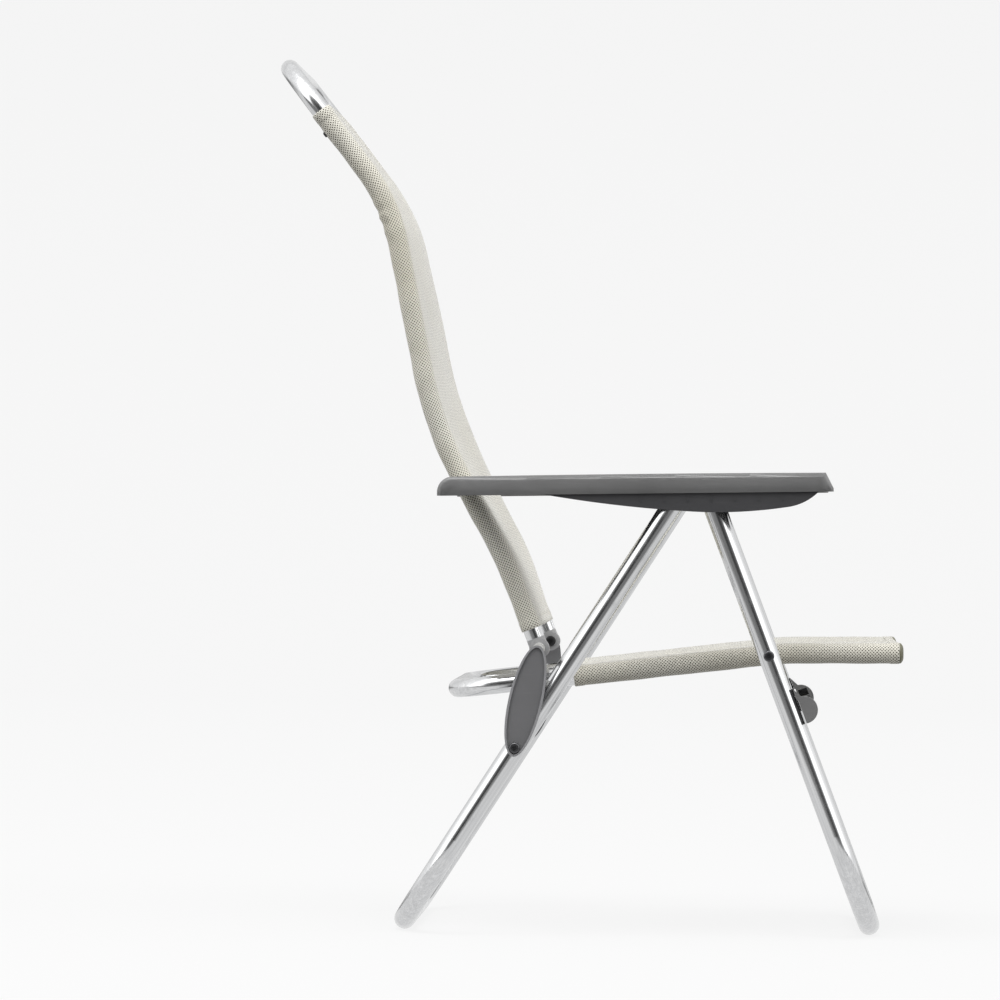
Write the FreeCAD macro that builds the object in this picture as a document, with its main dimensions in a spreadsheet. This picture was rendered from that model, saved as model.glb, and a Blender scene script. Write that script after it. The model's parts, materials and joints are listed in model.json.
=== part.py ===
import FreeCAD, Part
import math
import os
import Sketcher

# Folding camp chair: four bent tube frames, two woven slings, two armrests with
# a ribbed rack below, and link plates that carry the backrest and the seat.
# +X is the front of the chair, +Y the sitter's left, +Z up; millimetres.

V = FreeCAD.Vector
doc = FreeCAD.newDocument("folding_camp_chair")
sheet = doc.addObject("Spreadsheet::Sheet", "Dims")
rows = [0]


def dim(name, value):
    """One driving dimension, kept in the sheet under its own alias."""
    rows[0] += 1
    sheet.set("A%d" % rows[0], name)
    sheet.set("B%d" % rows[0], str(value))
    sheet.setAlias("B%d" % rows[0], name)


# tubes
dim("leg_tube", 25)
dim("back_tube", 22)
dim("seat_tube", 22)
dim("tube_wall", 1.5)
dim("leg_bend", 118)
dim("seat_bend", 52)
dim("back_bend", 70)
# distance of each tube's axis from the middle plane
dim("rear_leg_side", 300)
dim("front_leg_side", 270)
dim("back_side", 238)
dim("seat_side", 211)
dim("armrest_side", 285)
# pivots, seen from the side
dim("rear_foot_x", -214.15)
dim("front_foot_x", 341.4)
dim("front_pivot_x", 216.5)
dim("front_pivot_z", 335)
dim("link_low_x", -81.6)
dim("link_low_z", 223)
dim("link_top_x", -56.2)
dim("link_top_z", 339.2)
dim("seat_pivot_x", -53.8)
dim("seat_pivot_z", 302.3)
dim("arm_pivot_x", -145.9)
dim("arm_pivot_z", 529.2)
dim("rear_top_x", 107.6)
dim("rear_top_z", 523.5)
dim("front_top_x", 145.5)
dim("front_top_z", 518.4)
dim("top_overhang", 9)
# backrest tube: lean from upright and length of each stretch, from the top down
dim("head_lean", 37.9)
dim("lumbar_lean", 11.9)
dim("waist_lean", 29.1)
dim("foot_lean", 21.8)
dim("head_len", 156.5)
dim("neck_arc", 97.5)
dim("lumbar_len", 151.8)
dim("lumbar_arc", 139.1)
dim("waist_len", 83.5)
dim("waist_arc", 53.6)
dim("foot_len", 84.8)
dim("eye_gap", 13)
dim("eye_r", 11.8)
dim("eye_half", 10.6)
# seat rails
dim("seat_rise", 7.1)
dim("front_rise", 0.9)
dim("seat_rear_x", -156)
dim("seat_bend_x", 222)
dim("seat_bend_arc", 26)
dim("seat_front_len", 124)
dim("spreader_x", 318)
dim("spreader_tube", 16)
# slings
dim("sleeve_gap", 0.2)
dim("sleeve_wall", 1.1)
dim("cloth", 1.1)
dim("back_sleeve_top", 68)
dim("back_sleeve_end", 25)
dim("seat_sleeve_rear", 142)
dim("seat_hem", 0.4)
dim("cap_dome", 4.7)
# hardware
dim("pin", 8)
dim("running", 0.05)
dim("head_d", 13)
dim("head_h", 4)
dim("sling_screw", 3.8)
dim("sling_screw_in", 26)
dim("clip_screw", 3.2)
dim("bush_od", 13)
dim("spacer_od", 14)
dim("gap", 0.4)
# link plates
dim("plate_inner_y", 283)
dim("plate_inner_t", 4)
dim("plate_outer_y", 312.9)
dim("plate_outer_t", 4)
dim("plate_rim_h", 2)
dim("plate_rim_w", 2.8)
dim("plate_half_len", 67.3)
dim("plate_half_width", 20.1)
dim("plate_low_tip", 10.5)
dim("stop_od", 12.2)
# armrests, in their own frame at the rear pivot
dim("arm_tilt", 1.46)
dim("arm_rear", 32)
dim("arm_front", 435.5)
dim("arm_top", 12.7)
dim("arm_skirt", 9.6)
dim("arm_width", 67)
dim("arm_wall", 2.5)
dim("arm_edge", 5)
dim("arm_rear_round", 18)
dim("arm_front_slant", 9)
dim("rack_rear", 94)
dim("rack_front", 418)
dim("rack_wall", 2.6)
dim("rack_channel", 56.4)
dim("rack_depth", 32.3)
dim("belly_rear_x", 270)
dim("belly_nose_x", 380)
dim("belly_nose", 27.5)
dim("fin_drop", 10)
dim("rib_pitch", 27.7)
dim("rib_count", 7)
dim("rib_first", 209)
dim("rib_h", 3)
dim("rib_t", 3)
dim("carrier_t", 4)
dim("carrier_r", 9)
# clips on the front legs
dim("clip_drop", 74)
dim("clip_len", 32)
dim("clip_reach", 20)
dim("clip_slit", 1.8)
dim("clip_t", 21)
doc.recompute()


def val(name):
    return float(sheet.get(name))


def ref(text):
    """Alias words in an expression become references to the sheet."""
    out = []
    for word in text.split():
        out.append("Dims." + word if word[0].isalpha() else word)
    return " ".join(out)


def at(prefix, y=0.0):
    return V(val(prefix + "_x"), y, val(prefix + "_z"))


def frame(origin, along, lateral=V(0, 1, 0)):
    """Placement whose local x is lateral and local y runs along the given direction."""
    z = lateral.cross(along)
    return FreeCAD.Placement(origin, FreeCAD.Rotation(lateral, along, z, "XYZ"))


def lean(degrees):
    """Unit vector that runs down a tube which leans back by this much."""
    a = math.radians(degrees)
    return V(math.sin(a), 0, -math.cos(a))


def rise(degrees):
    a = math.radians(degrees)
    return V(math.cos(a), 0, math.sin(a))


# ---------------------------------------------------------------- part design

def new_body(label, placement=None):
    body = doc.addObject("PartDesign::Body", label)
    body.Label = label
    if placement:
        body.Placement = placement
    return body


def plane(body, role):
    for item in body.Origin.OriginFeatures:
        if item.Role == role:
            return item
    raise ValueError(role)


def sketch(body, name, role, offset=V(0, 0, 0), spin=None):
    sk = body.newObject("Sketcher::SketchObject", body.Name + "_" + name)
    sk.AttachmentSupport = [(plane(body, role), "")]
    sk.MapMode = "FlatFace"
    sk.AttachmentOffset = FreeCAD.Placement(offset, spin or FreeCAD.Rotation())
    return sk


def ring(sk, x, y, outer, inner=None):
    """Circles round one centre, their radii bound to the sheet."""
    for radius in [r for r in (outer, inner) if r]:
        circle = sk.addGeometry(Part.Circle(V(x, y, 0), V(0, 0, 1), 5), False)
        for kind, number in (("DistanceX", x), ("DistanceY", y)):
            if abs(number) > 1e-6:
                sk.addConstraint(Sketcher.Constraint(kind, -1, 1, circle, 3, number))
        if abs(x) < 1e-6:
            sk.addConstraint(Sketcher.Constraint("PointOnObject", circle, 3, -2))
        if abs(y) < 1e-6:
            sk.addConstraint(Sketcher.Constraint("PointOnObject", circle, 3, -1))
        con = sk.addConstraint(Sketcher.Constraint("Radius", circle, 5))
        sk.setExpression("Constraints[%d]" % con, ref(radius))


def outline(sk, points):
    """Closed outline of straight lines through a few points."""
    for a, b in zip(points, points[1:] + points[:1]):
        sk.addGeometry(Part.LineSegment(V(a[0], a[1], 0), V(b[0], b[1], 0)), False)


def u_path(sk, half, top, bend):
    """Open U: down one leg, across the bar at y = 0, up the other leg."""
    sk.addGeometry(Part.LineSegment(V(-half, top, 0), V(-half, bend, 0)), False)
    corner = Part.Circle(V(bend - half, bend, 0), V(0, 0, 1), bend)
    sk.addGeometry(Part.ArcOfCircle(corner, math.pi, 1.5 * math.pi), False)
    sk.addGeometry(Part.LineSegment(V(bend - half, 0, 0), V(half - bend, 0, 0)), False)
    corner = Part.Circle(V(half - bend, bend, 0), V(0, 0, 1), bend)
    sk.addGeometry(Part.ArcOfCircle(corner, 1.5 * math.pi, 2 * math.pi), False)
    sk.addGeometry(Part.LineSegment(V(half, bend, 0), V(half, top, 0)), False)


def turtle(sk, start, stretches):
    """Tangent lines and arcs in the sketch, each one (length, turn in degrees)."""
    x, y = start
    heading = 0.0
    for length, turn in stretches:
        if turn == 0:
            nx = x + length * math.cos(heading)
            ny = y + length * math.sin(heading)
            sk.addGeometry(Part.LineSegment(V(x, y, 0), V(nx, ny, 0)), False)
        else:
            swing = math.radians(turn)
            radius = abs(length / swing)
            side = 1 if swing > 0 else -1
            cx = x - side * radius * math.sin(heading)
            cy = y + side * radius * math.cos(heading)
            begin = math.atan2(y - cy, x - cx)
            finish = begin + swing
            nx = cx + radius * math.cos(finish)
            ny = cy + radius * math.sin(finish)
            low, high = (begin, finish) if side > 0 else (finish, begin)
            circle = Part.Circle(V(cx, cy, 0), V(0, 0, 1), radius)
            sk.addGeometry(Part.ArcOfCircle(circle, low, high), False)
            heading = heading + swing
        x, y = nx, ny
    return x, y, heading


def pipe(body, name, profile, path):
    sweep = body.newObject("PartDesign::AdditivePipe", body.Name + "_" + name)
    sweep.Profile = profile
    sweep.Spine = (path, ["Edge%d" % (i + 1) for i in range(path.GeometryCount)])
    body.Tip = sweep
    return sweep


def pad(body, name, sk, length, midplane=True):
    feature = body.newObject("PartDesign::Pad", body.Name + "_" + name)
    feature.Profile = sk
    feature.setExpression("Length", ref(length))
    feature.Midplane = midplane
    body.Tip = feature
    return feature


def pocket(body, name, sk, length, midplane=True):
    feature = body.newObject("PartDesign::Pocket", body.Name + "_" + name)
    feature.Profile = sk
    feature.setExpression("Length", ref(length))
    feature.Midplane = midplane
    body.Tip = feature
    return feature


def skin_bores(body, name, half, along, radius):
    """Small hole in the skin of each rail, on the side that the local z axis points to."""
    for i, x in enumerate((-half, half) if half else (0,)):
        drill = sketch(body, "%s%d" % (name, i), "XY_Plane")
        ring(drill, x, along, radius)
        feature = pocket(body, "%s%d_cut" % (name, i), drill, "leg_tube", False)
        feature.Reversed = True


# ---------------------------------------------------------------- part primitives

def rod(name, radius, x, z, y_from, y_to, side=1):
    """Cylinder across the chair, from one distance off the middle plane to another."""
    item = doc.addObject("Part::Cylinder", name)
    item.setExpression("Radius", ref(radius))
    item.Height = abs(y_to - y_from)
    low = min(side * y_from, side * y_to)
    turn = FreeCAD.Rotation(V(1, 0, 0), -90)
    item.Placement = FreeCAD.Placement(V(x, low, z), turn)
    return item


def cut(name, base, tool):
    item = doc.addObject("Part::Cut", name)
    item.Base = base
    item.Tool = tool
    return item


def fuse(name, shapes):
    item = doc.addObject("Part::MultiFuse", name)
    item.Shapes = shapes
    return item


def together(label, shapes):
    """Identical pieces kept as separate solids of one node."""
    item = doc.addObject("Part::Compound", label)
    item.Label = label
    item.Links = shapes
    return item


def tube(name, outer, inner, x, z, y_from, y_to, side=1):
    outside = rod(name + "_out", outer, x, z, y_from, y_to, side)
    inside = rod(name + "_in", inner, x, z, y_from - 1, y_to + 1, side)
    return cut(name, outside, inside)


def socket_bolt(name, x, z, head_y, end_y, side, radius="pin / 2"):
    """Button-head bolt; its head rests at head_y and its shank ends at end_y."""
    outward = 1 if head_y > end_y else -1
    height = val("head_h")
    shank = rod(name + "_shank", radius, x, z, end_y, head_y, side)
    top_y = head_y + outward * height
    head = rod(name + "_head", "head_d / 2", x, z, head_y, top_y, side)
    dome = doc.addObject("Part::Fillet", name + "_dome")
    dome.Base = head
    doc.recompute()
    edges = []
    for i, edge in enumerate(head.Shape.Edges):
        mid = edge.CenterOfMass
        if len(edge.Vertexes) == 1 and abs(mid.y - side * top_y) < 0.01:
            edges.append((i + 1, 2.2, 2.2))
    dome.Edges = edges
    body = fuse(name + "_solid", [shank, dome])
    hexagon = doc.addObject("Part::Prism", name + "_hex")
    hexagon.Polygon = 6
    hexagon.Circumradius = 2.8
    hexagon.Height = 2.4
    low = min(side * top_y, side * (top_y - outward * 2.4))
    hexagon.Placement = FreeCAD.Placement(V(x, low, z), FreeCAD.Rotation(V(1, 0, 0), -90))
    return cut(name, body, hexagon)


# ---------------------------------------------------------------- frames

def leg_frame(label, foot_x, top, side_dim, holes):
    """U-shaped leg frame: cross bar on the floor, tops inside the armrests."""
    radius = val("leg_tube") / 2
    foot = V(foot_x, 0, radius)
    along = V(top.x - foot.x, 0, top.z - foot.z)
    length = along.Length + val("top_overhang")
    along.normalize()
    body = new_body(label, frame(foot, along))
    half = val(side_dim)
    path = sketch(body, "path", "XY_Plane")
    u_path(path, half, length, val("leg_bend"))
    section = sketch(body, "section", "XZ_Plane", V(0, 0, -length))
    ring(section, -half, 0, "leg_tube / 2", "leg_tube / 2 - tube_wall")
    pipe(body, "tube", section, path)
    for i, (point, r) in enumerate(holes):
        reach = (point.x - foot.x) * along.x + (point.z - foot.z) * along.z
        drill = sketch(body, "hole%d" % i, "YZ_Plane")
        ring(drill, reach, 0, r)
        pocket(body, "drill%d" % i, drill, "rear_leg_side * 3")
    return body


def rear_legs():
    top = at("rear_top")
    holes = [(at("link_low"), "pin / 2 + running"), (top, "pin / 2")]
    return leg_frame("rear_leg_frame", val("rear_foot_x"), top, "rear_leg_side", holes)


def leg_up():
    """Unit vector up the front leg, and the one that points to its front."""
    foot_z = val("leg_tube") / 2
    up = V(val("front_top_x") - val("front_foot_x"), 0, val("front_top_z") - foot_z)
    up.normalize()
    return up, V(up.z, 0, -up.x)


def clip_screw_point(side):
    """Point on a front leg's axis that the clip's screw is aimed at."""
    up, ahead = leg_up()
    drop = val("clip_drop") - val("clip_len") / 2 - 1
    return at("front_pivot", side * val("front_leg_side")) - up * drop


def front_legs():
    top = at("front_top")
    holes = [(at("front_pivot"), "pin / 2"), (top, "pin / 2")]
    body = leg_frame("front_leg_frame", val("front_foot_x"), top, "front_leg_side", holes)
    local = body.Placement.inverse().multVec(clip_screw_point(0))
    skin_bores(body, "clip", val("front_leg_side"), local.y, "clip_screw / 2")
    return body


def back_top():
    """Middle of the bow at the top of the backrest, walked up from the link pin."""
    point = at("link_top")
    stretches = [("foot_len", "foot_lean", "foot_lean"), ("waist_arc", "foot_lean", "waist_lean"),
                 ("waist_len", "waist_lean", "waist_lean"),
                 ("lumbar_arc", "waist_lean", "lumbar_lean"),
                 ("lumbar_len", "lumbar_lean", "lumbar_lean"),
                 ("neck_arc", "lumbar_lean", "head_lean"), ("head_len", "head_lean", "head_lean")]
    for length, start, finish in stretches:
        a, b = val(start), val(finish)
        chord = val(length)
        if a != b:
            half_swing = math.radians(b - a) / 2
            chord = chord * math.sin(half_swing) / half_swing
        point = point - lean((a + b) / 2) * chord
    return point


def back_stretches(skip, end_gap):
    """The rail from the bow's leg down to the eye, as lengths and turns."""
    return [(val("head_len") - skip, 0), (val("neck_arc"), val("head_lean") - val("lumbar_lean")),
            (val("lumbar_len"), 0), (val("lumbar_arc"), val("lumbar_lean") - val("waist_lean")),
            (val("waist_len"), 0), (val("waist_arc"), val("waist_lean") - val("foot_lean")),
            (val("foot_len") - end_gap, 0)]


def bent_frame(label, placement, half, leg, bend, od, stretches):
    """U-shaped bow in one plane whose two rails then curve out of that plane."""
    body = new_body(label, placement)
    path = sketch(body, "bow_path", "XY_Plane")
    u_path(path, half, leg, bend)
    section = sketch(body, "bow_section", "XZ_Plane", V(0, 0, -leg))
    ring(section, -half, 0, od + " / 2", od + " / 2 - tube_wall")
    pipe(body, "bow", section, path)
    for name, x in (("right", -half), ("left", half)):
        rail = sketch(body, name + "_path", "YZ_Plane", V(0, 0, x))
        turtle(rail, (leg, 0), stretches)
        section = sketch(body, name + "_section", "XZ_Plane", V(0, 0, -leg))
        ring(section, x, 0, od + " / 2", od + " / 2 - tube_wall")
        pipe(body, name + "_rail", section, rail)
    return body


def side_hole(body, placement, name, point, radius):
    """Bore across the whole frame at a point given in the chair's frame."""
    local = placement.inverse().multVec(point)
    drill = sketch(body, name, "YZ_Plane")
    ring(drill, local.y, local.z, radius)
    pocket(body, name + "_cut", drill, "rear_leg_side * 3")


def sling_screw_drop():
    """How far below the bow's axis the screws hold the sling."""
    return val("back_sleeve_top") + val("sling_screw_in")


def back_frame():
    leg = val("back_bend") + 20
    place = frame(back_top(), lean(val("head_lean")))
    stretches = back_stretches(leg, val("eye_gap"))
    body = bent_frame("backrest_frame", place, val("back_side"), leg, val("back_bend"),
                      "back_tube", stretches)
    side_hole(body, place, "arm_hole", at("arm_pivot"), "pin / 2 + running")
    skin_bores(body, "screw", val("back_side"), sling_screw_drop(), "sling_screw / 2 + running")
    return body


def seat_rear():
    step = (val("front_pivot_x") - val("seat_rear_x")) * math.tan(math.radians(val("seat_rise")))
    return V(val("seat_rear_x"), 0, val("front_pivot_z") - step)


def seat_straight():
    """Straight length of a seat rail, from the rear bar to the bend by the front pivot."""
    return (val("seat_bend_x") - val("seat_rear_x")) / math.cos(math.radians(val("seat_rise")))


def seat_frame():
    place = frame(seat_rear(), rise(val("seat_rise")))
    turn = val("seat_rise") - val("front_rise")
    stretches = [(val("seat_bend_arc"), turn), (val("seat_front_len"), 0)]
    body = bent_frame("seat_frame", place, val("seat_side"), seat_straight(),
                      val("seat_bend"), "seat_tube", stretches)
    side_hole(body, place, "pivot_hole", at("front_pivot"), "pin / 2 + running")
    side_hole(body, place, "stud_hole", at("seat_pivot"), "pin / 2")
    return body


# ---------------------------------------------------------------- slings

def sling(label, placement, half, leg, od, stretches, start, end_trim):
    """Cloth stretched over the front of two rails, with a sleeve round each rail."""
    body = new_body(label, placement)
    run = [(length, turn) for length, turn in stretches]
    run[-1] = (run[-1][0] - end_trim, run[-1][1])
    run[0] = (run[0][0] + leg - start, run[0][1])
    for name, x in (("right", -half), ("left", half)):
        rail = sketch(body, name + "_path", "YZ_Plane", V(0, 0, x))
        turtle(rail, (start, 0), run)
        section = sketch(body, name + "_section", "XZ_Plane", V(0, 0, -start))
        ring(section, x, 0, od + " / 2 + sleeve_gap + sleeve_wall", od + " / 2 + sleeve_gap")
        if name == "right":
            pipe(body, name + "_sleeve", section, rail)
            mid = sketch(body, "cloth_path", "YZ_Plane")
            turtle(mid, (start, 0), run)
            flat = sketch(body, "cloth_section", "XZ_Plane", V(0, 0, -start))
            edge = half - 2
            face = -(val(od) / 2 + val("sleeve_gap") + val("sleeve_wall"))
            back = face + val("cloth")
            outline(flat, [(-edge, face), (edge, face), (edge, back), (-edge, back)])
            pipe(body, "cloth", flat, mid)
        else:
            pipe(body, name + "_sleeve", section, rail)
    return body


def back_sling():
    leg = val("back_bend") + 20
    place = frame(back_top(), lean(val("head_lean")))
    stretches = back_stretches(leg, val("eye_gap"))
    body = sling("backrest_sling", place, val("back_side"), leg, "back_tube", stretches,
                 val("back_sleeve_top") + 4, val("back_sleeve_end") - val("eye_gap"))
    skin_bores(body, "screw", val("back_side"), sling_screw_drop(), "sling_screw / 2 + running")
    return body


def seat_sling():
    place = frame(seat_rear(), rise(val("seat_rise")))
    turn = val("seat_rise") - val("front_rise")
    straight = seat_straight()
    stretches = [(0.0, 0), (val("seat_bend_arc"), turn), (val("seat_front_len"), 0)]
    return sling("seat_sling", place, val("seat_side"), straight, "seat_tube", stretches,
                 val("seat_sleeve_rear"), val("seat_hem"))


def sling_holes(body, placement, half, point):
    """Openings in both sleeves where a bolt goes through the rail."""
    local = placement.inverse().multVec(point)
    for name, x in (("right", -half), ("left", half)):
        drill = sketch(body, name + "_opening", "YZ_Plane", V(0, 0, x))
        ring(drill, local.y, local.z, "spacer_od / 2 + gap")
        pocket(body, name + "_opening_cut", drill, "back_tube * 1.15")


def spreader_openings(body, placement):
    """Openings on the inner side of the seat sleeves for the ends of the spreader."""
    local = placement.inverse().multVec(spreader_axis())
    inset = val("seat_tube") / 2
    for name, x in (("right", inset - val("seat_side")), ("left", val("seat_side") - inset)):
        drill = sketch(body, name + "_slot", "YZ_Plane", V(0, 0, x))
        ring(drill, local.y, local.z, "spreader_tube / 2 + gap")
        pocket(body, name + "_slot_cut", drill, "seat_tube")


# ---------------------------------------------------------------- small fittings

def seat_front_end():
    """Axis point at the open front end of a seat rail, and the rail's direction there."""
    turn = math.radians(val("seat_rise") - val("front_rise"))
    chord = val("seat_bend_arc") * math.sin(turn / 2) / (turn / 2)
    middle = (val("seat_rise") + val("front_rise")) / 2
    point = seat_rear() + rise(val("seat_rise")) * seat_straight() + rise(middle) * chord
    return point + rise(val("front_rise")) * val("seat_front_len")


def end_cap(label, side):
    """Plastic plug in the front end of a seat rail, with a domed head."""
    tip = seat_front_end() + V(0, side * val("seat_side"), 0)
    along = rise(val("front_rise"))
    body = new_body(label, frame(tip, along))
    bore = val("seat_tube") / 2 - val("tube_wall")
    head = val("seat_tube") / 2 + val("sleeve_wall")
    profile = sketch(body, "profile", "XY_Plane")
    points = [(0, -18), (bore - 0.6, -18), (bore, -16.5), (bore, 0), (head, 0), (head, 1.4)]
    for a, b in zip(points[:-1], points[1:]):
        profile.addGeometry(Part.LineSegment(V(a[0], a[1], 0), V(b[0], b[1], 0)), False)
    dome = val("cap_dome")
    crown = Part.Arc(V(head, 1.4, 0), V(head * 0.8, dome - 1.2, 0), V(head * 0.3, dome, 0))
    profile.addGeometry(crown, False)
    profile.addGeometry(Part.LineSegment(V(head * 0.3, dome, 0), V(0, dome, 0)), False)
    profile.addGeometry(Part.LineSegment(V(0, dome, 0), V(0, -18, 0)), False)
    turned = body.newObject("PartDesign::Revolution", body.Name + "_turned")
    turned.Profile = profile
    turned.ReferenceAxis = (profile, ["V_Axis"])
    turned.Angle = 360
    body.Tip = turned
    return body


def spreader_axis():
    """Where the spreader's axis crosses the middle plane, level with the rails."""
    turn = rise(val("front_rise"))
    tip = seat_front_end()
    x = val("spreader_x")
    return V(x, 0, tip.z - (tip.x - x) * turn.z / turn.x)


def spreader():
    """Cross tube under the front of the seat, its ends against the rails."""
    turn = rise(val("front_rise"))
    x, z = spreader_axis().x, spreader_axis().z
    reach = val("seat_side")
    outer = rod("spreader_out", "spreader_tube / 2", x, z, -reach, reach)
    inner = rod("spreader_in", "spreader_tube / 2 - tube_wall", x, z, -reach, reach)
    pipe_part = cut("spreader_pipe", outer, inner)
    tools = []
    for side in (-1, 1):
        rail = doc.addObject("Part::Cylinder", "spreader_rail%d" % (side + 1))
        rail.setExpression("Radius", ref("seat_tube / 2"))
        rail.Height = 80
        rail.Placement = FreeCAD.Placement(V(x - 40 * turn.x, side * reach, z - 40 * turn.z),
                                           FreeCAD.Rotation(V(0, 0, 1), turn))
        tools.append(rail)
    body = cut("seat_spreader", pipe_part, fuse("spreader_rails", tools))
    body.Label = "seat_spreader"
    return body


def eye_fitting(label, side):
    """Moulded eye that closes the lower end of a backrest rail and turns on the bush."""
    pivot = at("link_top")
    half = val("eye_half")
    centre = val("back_side")
    boss = rod(label + "_boss", "eye_r", pivot.x, pivot.z,
               centre - half, centre + half, side)
    plug = doc.addObject("Part::Cylinder", label + "_plug")
    plug.setExpression("Radius", ref("back_tube / 2 - tube_wall"))
    plug.Height = val("eye_gap") + 20
    up = V(0, 0, 0) - lean(val("foot_lean"))
    turn = FreeCAD.Rotation(V(0, 0, 1), up)
    plug.Placement = FreeCAD.Placement(pivot + V(0, side * centre, 0), turn)
    collar = doc.addObject("Part::Cylinder", label + "_collar")
    collar.setExpression("Radius", ref("back_tube / 2"))
    collar.Height = val("eye_gap")
    collar.Placement = FreeCAD.Placement(pivot + V(0, side * centre, 0), turn)
    solid = fuse(label + "_solid", [boss, plug, collar])
    bore = rod(label + "_bore", "bush_od / 2 + running", pivot.x, pivot.z,
               centre - half - 2, centre + half + 2, side)
    eye = cut(label, solid, bore)
    eye.Label = label
    return eye


def bush(label, side):
    pivot = at("link_top")
    centre = val("back_side")
    half = val("eye_half")
    item = tube(label, "bush_od / 2", "pin / 2 + running", pivot.x, pivot.z,
                centre - half, centre + half, side)
    item.Label = label
    return item


def sling_screw(name, side):
    """Small screw through the back of the top of the sleeve into the tube."""
    along = lean(val("head_lean"))
    rear = V(0, 1, 0).cross(along)
    centre = back_top() + along * sling_screw_drop() + V(0, side * val("back_side"), 0)
    radius = val("back_tube") / 2
    turn = FreeCAD.Rotation(V(0, 0, 1), rear)
    outer = radius + val("sleeve_gap") + val("sleeve_wall")
    shank = doc.addObject("Part::Cylinder", name + "_shank")
    shank.setExpression("Radius", ref("sling_screw / 2"))
    shank.Height = outer - radius + 3.5
    shank.Placement = FreeCAD.Placement(centre + rear * (radius - 3.5), turn)
    head = doc.addObject("Part::Cone", name + "_head")
    head.Radius1 = 4.2
    head.Radius2 = 2.6
    head.Height = 2.2
    head.Placement = FreeCAD.Placement(centre + rear * outer, turn)
    return fuse(name + "_solid", [shank, head])


# ---------------------------------------------------------------- links

def plate_outline(body, name, y, grow):
    """Long ellipse whose tips reach past the two link pins."""
    low = at("link_low")
    top = at("link_top")
    along = V(top.x - low.x, top.z - low.z, 0)
    along.normalize()
    across = V(along.y, -along.x, 0)
    centre = V(low.x, low.z, 0) + along * (val("plate_half_len") - val("plate_low_tip"))
    sk = sketch(body, name, "XZ_Plane", V(0, 0, -y))
    tip = centre + along * (val("plate_half_len") + grow)
    flank = centre + across * (val("plate_half_width") + grow)
    sk.addGeometry(Part.Ellipse(tip, flank, centre), False)
    return sk


def plate_holes(body, points, y):
    for i, (point, r) in enumerate(points):
        drill = sketch(body, "hole%d" % i, "XZ_Plane", V(0, 0, -y))
        ring(drill, point.x, point.z, r)
        pocket(body, "drill%d" % i, drill, "plate_outer_t * 6")


def outer_plate(label, side):
    """Cover plate: an oval with a raised rim round its inner panel."""
    body = new_body(label)
    t = val("plate_outer_t")
    y = side * (val("plate_outer_y") + t / 2)
    pad(body, "base", plate_outline(body, "base_outline", y, 0), "plate_outer_t")
    rim_y = y + side * (t + val("plate_rim_h")) / 2
    pad(body, "rim", plate_outline(body, "rim_outline", rim_y, 0), "plate_rim_h")
    inner = plate_outline(body, "panel_outline", rim_y, -val("plate_rim_w"))
    pocket(body, "panel", inner, "plate_rim_h")
    plate_holes(body, [(at("link_low"), "pin / 2")], y)
    return body


def inner_plate(label, side):
    body = new_body(label)
    t = val("plate_inner_t")
    y = side * (val("plate_inner_y") + t / 2)
    pad(body, "base", plate_outline(body, "base_outline", y, -1), "plate_inner_t")
    plate_holes(body, [(at("link_low"), "pin / 2"), (at("link_top"), "pin / 2")], y)
    return body


# ---------------------------------------------------------------- armrests

def arm_frame(side):
    a = math.radians(val("arm_tilt"))
    turn = FreeCAD.Rotation(V(math.cos(a), 0, math.sin(a)), V(0, 1, 0),
                            V(-math.sin(a), 0, math.cos(a)), "XYZ")
    return FreeCAD.Placement(at("arm_pivot", side * val("armrest_side")), turn)


def arm_shell(label, side):
    """Armrest: a long cap, open below, round at the rear and slanted at the front."""
    place = arm_frame(side)
    body = new_body(label, place)
    top, skirt = val("arm_top"), -val("arm_skirt")
    rear, front = -val("arm_rear"), val("arm_front")
    r = val("arm_rear_round")
    sk = sketch(body, "profile", "XZ_Plane")
    sk.addGeometry(Part.LineSegment(V(rear, skirt, 0), V(rear, top - r, 0)), False)
    quarter = Part.Circle(V(rear + r, top - r, 0), V(0, 0, 1), r)
    sk.addGeometry(Part.ArcOfCircle(quarter, math.pi / 2, math.pi), False)
    brow = V(front - val("arm_front_slant"), top, 0)
    crown = Part.Arc(V(rear + r, top, 0), V((rear + r + brow.x) / 2, top + 0.9, 0), brow)
    sk.addGeometry(crown, False)
    sk.addGeometry(Part.LineSegment(brow, V(front, skirt + 4, 0)), False)
    sk.addGeometry(Part.LineSegment(V(front, skirt + 4, 0), V(front, skirt, 0)), False)
    sk.addGeometry(Part.LineSegment(V(front, skirt, 0), V(rear, skirt, 0)), False)
    cap = pad(body, "cap", sk, "arm_width")
    doc.recompute()
    names = []
    half = val("arm_width") / 2
    for i, edge in enumerate(cap.Shape.Edges):
        box = edge.BoundBox
        flat = box.YMax - box.YMin < 0.01 and abs(abs(box.YMax) - half) < 0.01
        if flat and box.ZMax > skirt + 4.5 and box.ZMin > skirt - 0.01 and box.ZMax > 0:
            names.append("Edge%d" % (i + 1))
    rounded = body.newObject("PartDesign::Fillet", body.Name + "_edges")
    rounded.Base = (cap, names)
    rounded.setExpression("Radius", ref("arm_edge"))
    body.Tip = rounded
    wall = val("arm_wall")
    hollow = sketch(body, "hollow", "XZ_Plane")
    inside_front = front - val("arm_front_slant") - wall
    outline(hollow, [(rear + wall, skirt - 1), (rear + wall, top - r), (rear + r, top - wall),
                     (inside_front, top - wall), (inside_front, skirt - 1)])
    pocket(body, "hollow_cut", hollow, "arm_width - 2 * arm_wall")
    drill = sketch(body, "pivot", "XZ_Plane", V(0, 0, side * (half - wall / 2)))
    ring(drill, 0, 0, "pin / 2 + running")
    pocket(body, "pivot_cut", drill, "arm_wall * 4")
    return body


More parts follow.
